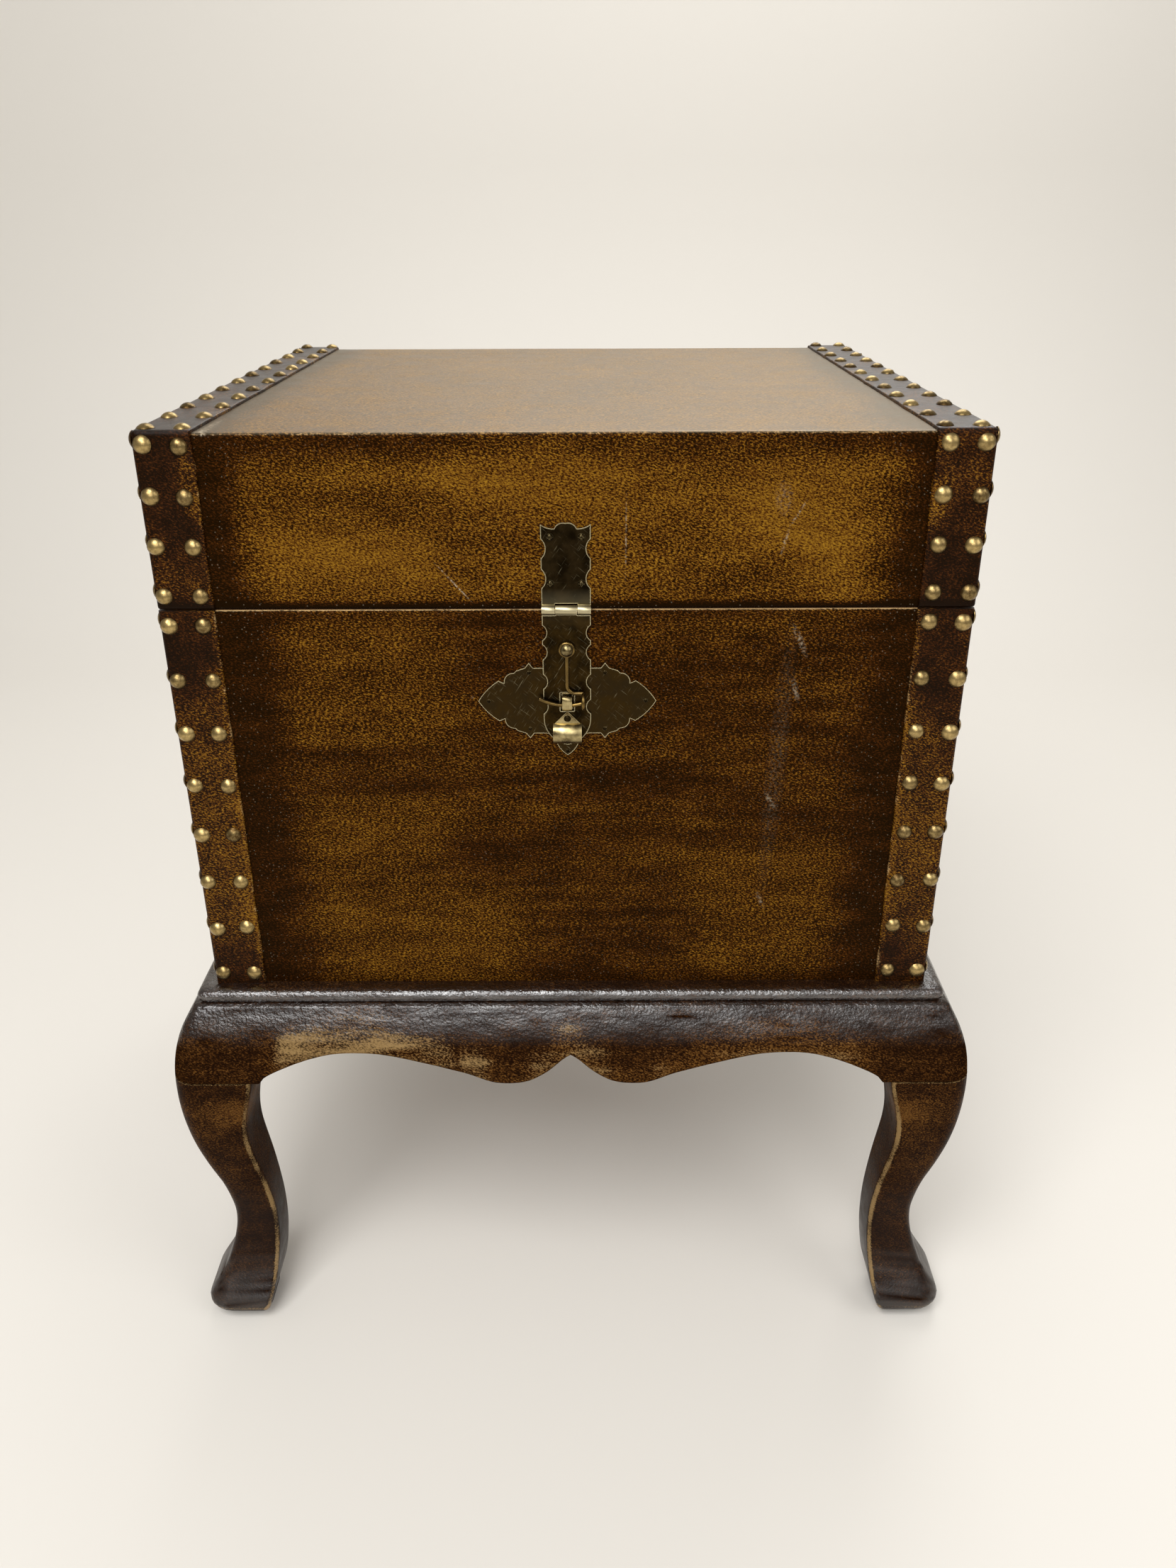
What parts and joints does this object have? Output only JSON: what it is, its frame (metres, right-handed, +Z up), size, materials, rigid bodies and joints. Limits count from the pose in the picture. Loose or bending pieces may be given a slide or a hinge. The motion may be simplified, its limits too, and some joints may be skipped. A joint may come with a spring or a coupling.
{
  "type": "trunk side table",
  "caption": "Leather-covered storage trunk with nailed straps, a hinged lid and a pin hasp, raised on a scalloped stand with cabriole legs to serve as a side table.",
  "frame": {"origin": "on the floor, under the middle of the trunk", "axes": "+Z up, the front with the hasp faces -Y, +X to the right of someone facing the front"},
  "size_m": [0.523, 0.492, 0.617],
  "materials": {
    "panel_leather": "burnished antique brown, mottled, semi-gloss",
    "strap_leather": "burnished dark brown, semi-gloss",
    "stand_leather": "wood wrapped in glossy near-black leather, rubbed through at edges",
    "board_wood": "stained, matt",
    "nail_brass": "antique brass, domed",
    "hasp_bronze": "antique bronze, bright at edges",
    "hasp_bright": "worn antique brass",
    "hinge_brass": "aged brass"
  },
  "bodies": {
    "trunk": {"stand_front_rail": "stand_leather", "stand_rear_rail": "stand_leather", "stand_left_rail": "stand_leather", "stand_right_rail": "stand_leather", "front_left_leg": "stand_leather", "front_right_leg": "stand_leather", "rear_left_leg": "stand_leather", "rear_right_leg": "stand_leather", "stand_deck": "board_wood", "corner_blocks": "board_wood", "leg_screws": "hinge_brass", "deck_screws": "hinge_brass", "trunk_front_board": "board_wood", "trunk_rear_board": "board_wood", "trunk_left_board": "board_wood", "trunk_right_board": "board_wood", "trunk_bottom_board": "board_wood", "trunk_front_leather": "panel_leather", "trunk_rear_leather": "panel_leather", "trunk_left_leather": "panel_leather", "trunk_right_leather": "panel_leather", "trunk_front_left_strap": "strap_leather", "trunk_front_right_strap": "strap_leather", "trunk_rear_left_strap": "strap_leather", "trunk_rear_right_strap": "strap_leather", "trunk_strap_nails": "nail_brass", "staple_plate": "hasp_bronze", "staple": "hasp_bright", "staple_plate_nails": "hasp_bronze", "left_hinge_trunk_leaf": "hinge_brass", "right_hinge_trunk_leaf": "hinge_brass", "left_hinge_pin": "hinge_brass", "right_hinge_pin": "hinge_brass", "hinge_trunk_screws": "hinge_brass"},
    "lid": {"lid_front_board": "board_wood", "lid_rear_board": "board_wood", "lid_left_board": "board_wood", "lid_right_board": "board_wood", "lid_top_board": "board_wood", "lid_leather": "panel_leather", "lid_left_leather": "panel_leather", "lid_right_leather": "panel_leather", "lid_left_strap": "strap_leather", "lid_right_strap": "strap_leather", "lid_strap_nails": "nail_brass", "left_hinge_lid_leaf": "hinge_brass", "right_hinge_lid_leaf": "hinge_brass", "hinge_lid_screws": "hinge_brass", "hasp_lid_plate": "hasp_bronze", "hasp_screws": "hasp_bronze", "hasp_hinge_pin": "hasp_bright"},
    "hasp": {"hasp_strap": "hasp_bronze", "hasp_pull_tab": "hasp_bright", "tab_rivet": "hasp_bright", "pin_stud": "hasp_bright"},
    "locking_pin": {"locking_pin": "hasp_bright"}
  },
  "joints": [
    {"name": "lid_hinge", "type": "hinge", "parent": "trunk", "child": "lid", "pos_m": [0, 0.2144, 0.516], "axis": [-1, 0, 0], "range_deg": [0, 100]},
    {"name": "hasp_swing", "type": "hinge", "parent": "lid", "child": "hasp", "pos_m": [0, -0.214, 0.516], "axis": [-1, 0, 0], "range_deg": [0, 120]},
    {"name": "pin_swing", "type": "hinge", "parent": "hasp", "child": "locking_pin", "pos_m": [0, -0.21535, 0.4931], "axis": [0, -1, 0], "range_deg": [0, 90]}
  ]
}
